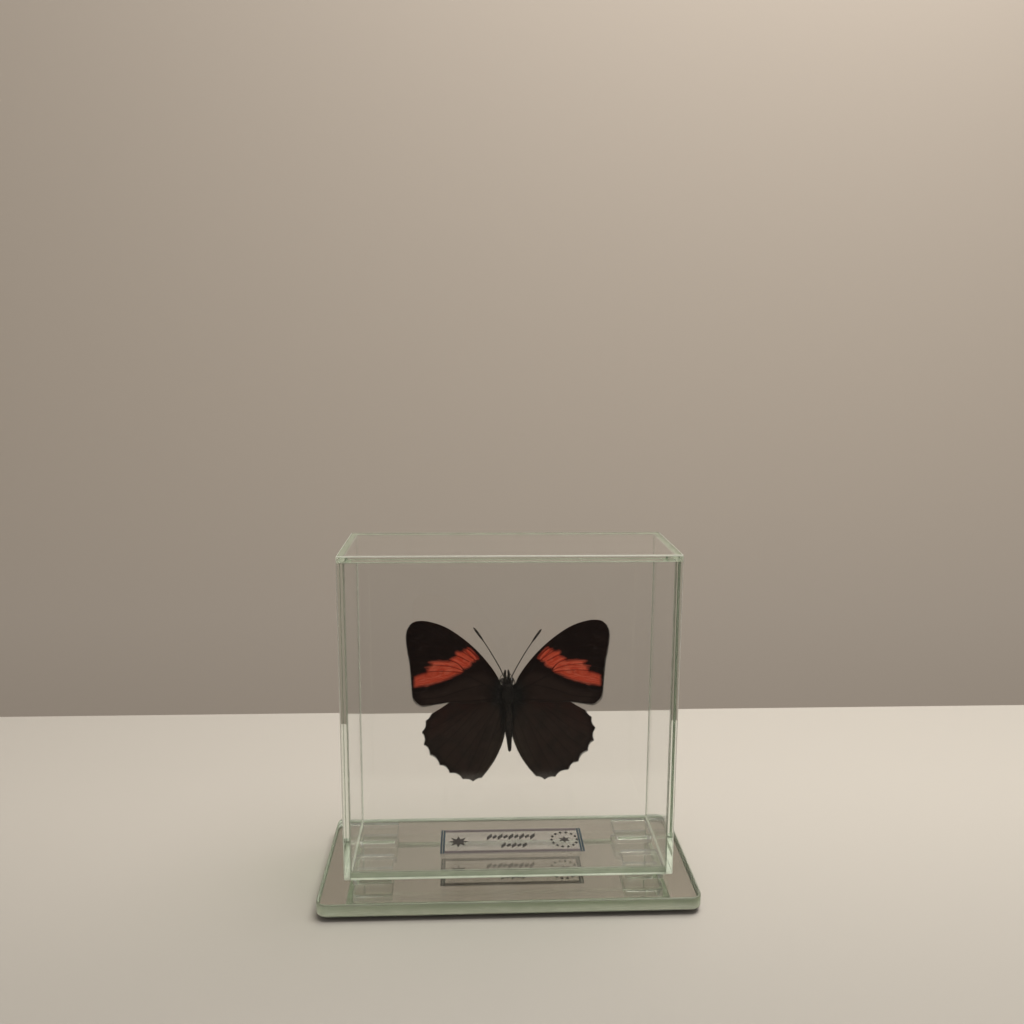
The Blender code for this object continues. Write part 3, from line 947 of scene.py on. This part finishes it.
def add_butterfly():
    fore_finishes = [
        forewing_upper(),
        wing_under("forewing_underside", (0.105, 0.066, 0.044), (0.060, 0.036, 0.025), [(1.2, 0.35)]),
    ]
    bars = [(1.3, 0.35), (3.4, 0.5), (11.0, 0.7)]
    hind_finishes = [
        hindwing_upper(),
        wing_under("hindwing_underside", (0.130, 0.092, 0.064), (0.082, 0.053, 0.038), bars),
    ]
    black_hair = hair_look("body_hair", (0.0034, 0.0024, 0.0020), (0.040, 0.0295, 0.0235))
    wing_down = hair_look("wing_hair", (0.012, 0.010, 0.009), (0.050, 0.042, 0.035))
    scales = hair_look("fringe_scales", (0.008, 0.006, 0.005), (0.050, 0.040, 0.032))
    fore = [curve(FORE_COSTA, 190), curve(FORE_OUTER, 150), curve(FORE_HIND, 190), curve(FORE_ROOT, 150)]
    tips = spaced(scalloped(HIND_TIPS, SCALLOPS), 190)
    hind = [curve(HIND_COSTA, 170), tips, curve(HIND_INNER, 170), curve(HIND_ROOT, 190)]
    in_fore, in_hind = (15.0, 8.0), (12.0, -12.0)
    for number, side in enumerate(SIDES):
        fore_name, hind_name = f"forewing_{side}", f"hindwing_{side}"
        add_wing(fore_name, side, fore, forewing_values, -0.42, 0.30, fore_finishes, forewing_placed)
        add_wing(hind_name, side, hind, hindwing_values, 0.28, 0.25, hind_finishes, hindwing_placed)
        edges = [forewing_placed(line, side) for line in (fore[1], fore[2][60:])]
        edges += [hindwing_placed(line, side) for line in (hind[1], hind[2][70:])]
        edging = [
            fringe(side, edges[0], in_fore, -0.05, 0.34, 0.055, 20 + number),
            fringe(side, edges[1], in_fore, -0.10, 0.30, 0.06, 30 + number),
            fringe(side, edges[2], in_hind, 0.62, 0.34, 0.05, 40 + number),
            fringe(side, edges[3], in_hind, 0.40, 0.30, 0.06, 50 + number),
        ]
        add_part(f"wing_fringe_{side}", joined(edging), scales)
        add_part(f"wing_hair_{side}", wing_hair(side, 60 + number), wing_down)
    add_body(black_hair)


def add_body(black_hair):
    skin = Look("body_skin", Roughness=0.5, Specular_IOR_Level=0.15)
    skin.mottled(3.0, 4.0, (0.0052, 0.0036, 0.0029), (0.038, 0.0285, 0.0225), high=0.7)
    skin.bump(skin.noise(skin.place(), 14.0, 3.0), 0.5, 0.00008)
    thorax = turned_body(rounded((-3.4, 3.4, 2.0, 1.8, -0.1), 0.45))
    neck = turned_body(rounded((1.6, 4.5, 1.75, 1.45, -0.1)))
    head = turned_body(rounded((3.2, 5.7, 1.35, 1.2, -0.2), 0.42))
    radii = np.interp(np.linspace(0, 1, 40), [0, 0.5, 0.85, 1], [0.42, 0.44, 0.34, 0.10])
    palp = [(0.50, -0.6, 4.9), (0.62, -1.0, 6.8), (0.42, -1.1, 8.4)]
    palps = [tube(sided(left_right, palp, 40), radii, 12) for left_right in (-1, 1)]
    core = joined([turned_body(abdomen_levels()), thorax, neck, head, *palps, legs(), coil()])
    add_part("butterfly_body", leaned(core), skin.material, ["butterfly_body"])
    add_part("body_hair", leaned(joined([body_hair(), palp_hair()])), black_hair)
    eye = Look("eyes", Roughness=0.22, Specular_IOR_Level=0.5, Coat_Weight=0.3)
    eye.mottled(1.6, 2.0, (0.006, 0.005, 0.004), (0.040, 0.024, 0.015), low=0.4)
    eye.bump(eye.node("TexVoronoi", Vector=eye.place(), Scale=16.0).outputs["Distance"], 0.4, 0.00003)
    eyes = [egg((left_right * 1.42, -0.35, 4.6), (0.76, 0.88, 1.0)) for left_right in (-1, 1)]
    add_part("eyes", leaned(joined(eyes)), eye.material)
    horn = Look("antenna_shaft", Roughness=0.45, Specular_IOR_Level=0.4)
    horn.mottled(2.6, 3.0, (0.010, 0.008, 0.006), (0.045, 0.032, 0.022), low=0.4)
    for side in SIDES:
        name = f"antenna_{side}"
        add_part(name, antenna(side), horn.material, [name])


# ---- case, base, pads, label


def mesh_from(form, name, materials=()):
    """The bmesh form as a mesh. The form is freed."""
    mesh = bpy.data.meshes.new(name)
    form.to_mesh(mesh)
    form.free()
    for each in materials:
        mesh.materials.append(each)
    return mesh


def bevelled_box(low, high, arris=0.0, corner=0.0, segments=2):
    """A bmesh of a box, its upright edges rounded to corner and then every edge ground to arris."""
    form = bmesh.new()
    bmesh.ops.create_cube(form, size=1)
    bmesh.ops.scale(form, vec=high - low, verts=form.verts)
    bmesh.ops.translate(form, vec=(low + high) / 2, verts=form.verts)
    if corner:
        upright = [edge for edge in form.edges if abs(edge.verts[0].co.z - edge.verts[1].co.z) > 1e-6]
        bmesh.ops.bevel(form, geom=upright, offset=corner, segments=12, profile=0.5, affect="EDGES")
    if arris:
        sharp = [edge for edge in form.edges if edge.calc_face_angle(0) > radians(50)]
        bmesh.ops.bevel(form, geom=sharp, offset=arris, segments=segments, profile=0.5, affect="EDGES")
    return form


def add_case(clear, ground):
    """The six panes bonded into one: a smooth shell whose outer corners are ground."""
    names = [f"pane_{each}" for each in ("top", "bottom", "left", "right", "front", "rear")]
    boxes = [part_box(name) for name in names]
    low = Vector([min(box[0][i] for box in boxes) for i in range(3)])
    high = Vector([max(box[1][i] for box in boxes) for i in range(3)])
    wall = Vector((PANE,) * 3)
    form = bevelled_box(low, high, CASE_ARRIS)
    inner = bevelled_box(low + wall, high - wall)
    bmesh.ops.reverse_faces(inner, faces=inner.faces)
    held = mesh_from(inner, "room")
    form.from_mesh(held)
    bpy.data.meshes.remove(held)
    for face in form.faces:
        face.material_index = int(max(map(abs, face.normal)) < 0.99)
    piece("glass_case", mesh_from(form, "glass_case", [clear, ground]), names)
    add_bonds(low, high, low + wall, high - wall)


def prism(start, end):
    """(points, faces) of a solid between two outlines that match."""
    count = len(start)
    faces = [tuple(range(count)), tuple(range(count, 2 * count))]
    faces += [(i, (i + 1) % count, count + (i + 1) % count, count + i) for i in range(count)]
    return np.vstack([start, end]), faces


def across(a, b):
    """The stretch from a to b, kept a little clear of both."""
    return a + GLUE_INSET, b - GLUE_INSET


def at(a):
    return a - GLUE_HALF, a + GLUE_HALF


def slabs(boxes):
    """A prism for each box, which is given as three stretches."""
    parts = []
    for x, y, z in boxes:
        start, end = ([(x[0], y[0], up), (x[1], y[0], up), (x[1], y[1], up), (x[0], y[1], up)] for up in z)
        parts.append(prism(start, end))
    return parts


def wall_plan(low, high, inner_low, inner_high):
    """The upright walls as stretches of x and y: front and rear full width, and the sides between them."""
    plan = [(across(low.x, high.x), across(*y)) for y in ((low.y, inner_low.y), (inner_high.y, high.y))]
    for x in ((low.x, inner_low.x), (inner_high.x, high.x)):
        plan.append((across(*x), across(inner_low.y, inner_high.y)))
    return plan


def roof_and_wall_sheets(low, high, inner_low, inner_high):
    """Thin sheets of glue inside the glass, where the roof lies on the walls and the walls meet."""
    plan = wall_plan(low, high, inner_low, inner_high)
    roof, wall = at(inner_high.z), across(low.z, inner_high.z)
    boxes = [(x, y, roof) for x, y in plan]
    boxes += [(at(x), y, wall) for x in (inner_low.x, inner_high.x) for _, y in plan[:2]]
    return slabs(boxes)


def stands_at_rear(part):
    """Whether a part stands upright along the rear of the case."""
    points = part[0]
    return points[:, 1].min() > 0 and np.ptp(points[:, 2]) > 0.05


def parted(parts):
    """The parts that don't stand at the rear, and those that do."""
    return [[part for part in parts if stands_at_rear(part) == at_rear] for at_rear in (False, True)]


def floor_sheets(low, inner_low, inner_high):
    """Thin sheets of glue round the floor, which stands between the walls."""
    floor = across(low.z, inner_low.z)
    boxes = [(across(inner_low.x, inner_high.x), at(y), floor) for y in (inner_low.y, inner_high.y)]
    boxes += [(at(x), across(inner_low.y, inner_high.y), floor) for x in (inner_low.x, inner_high.x)]
    return slabs(boxes)


def wall_soles(low, high, inner_low, inner_high):
    """The walls' lower edges, ground matt: thin sheets just inside the glass."""
    level = at(low.z + SOLE_RISE)
    return slabs([(x, y, level) for x, y in wall_plan(low, high, inner_low, inner_high)])


def bond_beads(low, high):
    """A small three-sided bead of glue along each inner corner of the case."""
    parts = []
    for along in range(3):
        i, j = (along + 1) % 3, (along + 2) % 3
        for at_i, step_i in ((low[i] + HAIRLINE, BEAD), (high[i] - HAIRLINE, -BEAD)):
            for at_j, step_j in ((low[j] + HAIRLINE, BEAD), (high[j] - HAIRLINE, -BEAD)):
                ends = []
                for end in (low[along] + BEAD, high[along] - BEAD):
                    corner = np.full((3, 3), end)
                    corner[:, i] = (at_i, at_i + step_i, at_i)
                    corner[:, j] = (at_j, at_j, at_j + step_j)
                    ends.append(corner)
                parts.append(prism(*ends))
    return parts


def add_bonds(low, high, inner_low, inner_high):
    """The glue, in six pieces by its tone and by how much of what is behind it shows. The tones are partly
    painted light and shade: the upright pieces along the rear are paler than the rest, as light falls through
    the joints.
    """
    sheets = roof_and_wall_sheets(low, high, inner_low, inner_high)
    beads = bond_beads(inner_low, inner_high)
    near_sheets, rear_sheets = parted(sheets)
    near_beads, rear_beads = parted(beads)
    floor = floor_sheets(low, inner_low, inner_high)
    soles = wall_soles(low, high, inner_low, inner_high)
    # Painted light and shade: the same glue is given darker tones in the sheets at the front and sides, and
    # paler ones in the upright sheets and beads along the rear.
    for name, parts, dark, light, cover in (
        ("bond_sheets", near_sheets, (0.33, 0.36, 0.27), (0.40, 0.43, 0.33), 0.6),
        ("floor_bonds", floor, (0.52, 0.56, 0.45), (0.60, 0.63, 0.52), 0.6),
        ("wall_soles", soles, (0.60, 0.63, 0.54), (0.74, 0.75, 0.66), 0.8),
        ("bond_beads", near_beads, (0.52, 0.54, 0.46), (0.66, 0.66, 0.58), 0.5),
        ("rear_sheets", rear_sheets, (0.42, 0.46, 0.35), (0.50, 0.54, 0.43), 0.6),
        ("rear_beads", rear_beads, (0.74, 0.76, 0.68), (0.84, 0.84, 0.77), 0.18),
    ):
        look = Look(name, Roughness=0.4, Alpha=cover, Specular_IOR_Level=0.3)
        look.mottled(0.7, 3.0, dark, light, stretch=(0.3, 0.3, 1))
        mesh = mesh_of(name, *joined(parts), [look.material], smooth=False)
        form = bmesh.new()
        form.from_mesh(mesh)
        bmesh.ops.recalc_face_normals(form, faces=form.faces)
        form.to_mesh(mesh)
        form.free()
        piece(name, mesh)


def add_base(finishes):
    low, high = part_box("mirror_base")
    form = bevelled_box(low + Vector((0, 0, SILVER + HAIRLINE)), high, BASE_ARRIS, BASE_CORNER, 3)
    for face in form.faces:
        upward = abs(face.normal.z)
        face.material_index = 0 if upward > 0.999 else 1 if upward < 0.05 else 2
        face.smooth = True
    even_shading(piece("mirror_base", mesh_from(form, "mirror_base", finishes), ["mirror_base"]))
    silver = Look("silvering", Metallic=1.0, Roughness=0.004)
    silver.mottled(0.06, 3.0, (0.71, 0.69, 0.655), (0.68, 0.665, 0.63), high=0.7)
    paint = Look("backing_paint", Roughness=0.7)
    paint.mottled(1.4, 4.0, (0.022, 0.023, 0.024), (0.036, 0.037, 0.038), low=0.4)
    inset = Vector((0.0002, 0.0002, 0))
    top = Vector((high.x, high.y, low.z + SILVER))
    form = bevelled_box(low + inset, top - inset, 0.0, BASE_CORNER)
    for face in form.faces:
        face.material_index = int(face.normal.z < 0.5)
    piece("silvering", mesh_from(form, "silvering", [silver.material, paint.material]))


def add_pads(clear):
    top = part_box("pane_bottom")[0].z - HAIRLINE
    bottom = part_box("mirror_base")[1].z + HAIRLINE
    for corner in CORNERS:
        name = f"pad_{corner}"
        low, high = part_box(name)
        low, high = Vector((low.x, low.y, bottom)), Vector((high.x, high.y, top))
        form = bevelled_box(low, high, PAD_ARRIS, PAD_CORNER, 3)
        for face in form.faces:
            face.smooth = True
        even_shading(piece(name, mesh_from(form, name, [clear]), [name]))


def bar(low_x, low_y, high_x, high_y):
    return np.array([(low_x, low_y), (high_x, low_y), (high_x, high_y), (low_x, high_y)])


def lozenge(x, y, wide, high, slant=0.0):
    return np.array([(x - wide, y), (x + slant, y - high), (x + wide, y), (x - slant, y + high)])


def solid(outline, height):
    """(points, faces) of a flat outline raised to height."""
    count = len(outline)
    points = np.vstack([np.hstack([outline, np.full((count, 1), z)]) for z in (0.0, height)])
    faces = [tuple(range(count))[::-1], tuple(range(count, 2 * count))]
    faces += [(i, (i + 1) % count, count + (i + 1) % count, count + i) for i in range(count)]
    return points, faces


def star(x, y, points, long, short):
    """The outline of a star with the given number of points."""
    turn = np.arange(2 * points) * pi / points + pi / 2
    size = np.where(np.arange(2 * points) % 2, short, long)
    return np.stack([x + size * np.cos(turn), y + size * np.sin(turn)], axis=1)


def ornament():
    """Outlines: two rows of slanted lozenges where a label has words, a star before and a ring after."""
    outlines = [star(-17.2, -0.2, 8, 3.4, 1.6), star(17.0, 0.1, 6, 2.1, 0.9)]
    for middle, y, count, pitch, high in ((-0.2, 2.5, 9, 1.75, 2.1), (0.6, -2.9, 5, 1.7, 1.7)):
        for i in range(count):
            tall = high if i % 2 == 0 else 0.62 * high
            x = middle + (i - (count - 1) / 2) * pitch
            outlines.append(lozenge(x, y, 0.80, tall, -0.4 * tall))
    for turn in np.arange(14) * 2 * pi / 14:
        outlines.append(lozenge(17.0 + 4.1 * np.cos(turn), 0.1 + 4.5 * np.sin(turn), 0.55, 0.75))
    return outlines


def label_frame(half_x, half_y):
    """The outlines of two upright bars at each end of the label, and of a rule along each long side."""
    ends, rules = [], []
    for side in (-1, 1):
        for inset in (0.42, 1.2):
            x = side * (half_x - inset)
            ends.append(bar(x - 0.3, -half_y + 0.3, x + 0.3, half_y - 0.3))
        y = side * (half_y - 1.0)
        rules.append(bar(-half_x + 1.55, y - 0.7, half_x - 1.55, y + 0.7))
    return ends, rules


def add_label():
    low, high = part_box("label_film")
    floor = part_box("pane_bottom")[1].z + HAIRLINE
    low, high = Vector((low.x, low.y, floor)), Vector((high.x, high.y, floor + FILM))
    film = Look("label_film", Roughness=0.02, IOR=1.25, Transmission_Weight=0.93, Specular_IOR_Level=0.3)
    film.mottled(0.25, 4.0, (0.95, 0.93, 0.925), (0.89, 0.87, 0.865), high=0.7)
    form = bevelled_box(low, high, 0.0, FILM_CORNER)
    piece("label_film", mesh_from(form, "label_film", [film.material]), ["label_film"])
    middle, half = (low + high) / 2, (high - low) / 2 / MM
    ink = (high.z - low.z) / MM + 0.01
    ends, rules = label_frame(half.x, half.y)
    for name, outlines, dark, light in (
        ("label_ends", ends, (0.006, 0.020, 0.032), (0.012, 0.036, 0.050)),
        ("label_rules", rules, (0.085, 0.064, 0.070), (0.120, 0.094, 0.098)),
        ("label_ornament", ornament(), (0.008, 0.006, 0.006), (0.020, 0.014, 0.014)),
    ):
        look = Look(name, Roughness=0.6, Specular_IOR_Level=0.08)
        look.mottled(2.0, 2.0, dark, light)
        points, faces = joined([solid(outline, ink) for outline in outlines])
        points = points * MM + np.array((middle.x, middle.y, low.z - 0.000005))
        piece(name, mesh_of(name, points, faces, [look.material], smooth=False))


def add_feet():
    """Domed clear bumpers: flat above, where they hold the base, and rounded where they stand."""
    tint = (0.80, 0.82, 0.80)
    rubber = Look("clear_rubber", Base_Color=tint, Roughness=0.28, Transmission_Weight=0.75, IOR=1.41)
    rubber.bump(rubber.noise(rubber.place(), 3.0, 3.0), 0.15, 0.0001)
    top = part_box("mirror_base")[0].z - HAIRLINE
    for corner in CORNERS:
        name = f"foot_{corner}"
        low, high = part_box(name)
        (x, y, _), radius, tall = (low + high) / 2, (high.x - low.x) / 2, top - low.z
        rings = []
        for share, rise in FOOT_PROFILE:
            rings.append(ellipse(radius * share, radius * share, low.z + rise * tall, 48, x, y))
        mesh = mesh_of(name, *capped(rings, (x, y, low.z), (x, y, top)), [rubber.material])
        mesh.set_sharp_from_angle(angle=radians(50))
        piece(name, mesh, [name])


def add_peg(clear):
    """A clear rod between the butterfly's back and the rear pane, with a small bead of glue at each end."""
    low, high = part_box("support_peg")
    x, z, radius = (low.x + high.x) / 2, (low.z + high.z) / 2, (high.x - low.x) / 2
    start, end = 0.0012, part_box("pane_rear")[0].y - HAIRLINE
    t = np.linspace(0, 1, 60)
    line = np.stack([np.full(60, x), start + (end - start) * t, np.full(60, z)], axis=1)
    flare = 0.45 * np.exp(-t / 0.03) + 0.55 * np.exp(-(1 - t) / 0.025)
    mesh = mesh_of("support_peg", *tube(line, radius * (0.86 + flare), 32), [clear])
    mesh.set_sharp_from_angle(angle=radians(50))
    piece("support_peg", mesh, ["support_peg"])


THORAX = Vector((0, 0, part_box("butterfly_body")[0].z + ABDOMEN_TIP * MM))
camera()
room()
case_glass = glass("case_glass", GLASS_TINT, 4.0)
case_edge = ground_glass("case_edge", (0.76, 0.77, 0.69), (0.84, 0.84, 0.77), 0.72)
base_glass = glass("base_glass", GLASS_TINT, 11.0)
# The base's edge has a painted shade along its upper part.
base_edge = ground_glass("base_edge", (0.50, 0.54, 0.42), (0.62, 0.65, 0.53), 0.6, (0.27, 0.33, 0.21))
base_arris = ground_glass("base_arris", (0.22, 0.24, 0.17), (0.30, 0.32, 0.24), 0.5)
acrylic = glass("clear_acrylic", (0.50, 0.70, 0.55), 8.0, tint=(0.965, 0.985, 0.96), ior=1.49)
add_butterfly()
add_case(case_glass, case_edge)
add_base([base_glass, base_edge, base_arris])
add_pads(acrylic)
add_label()
add_feet()
add_peg(acrylic)
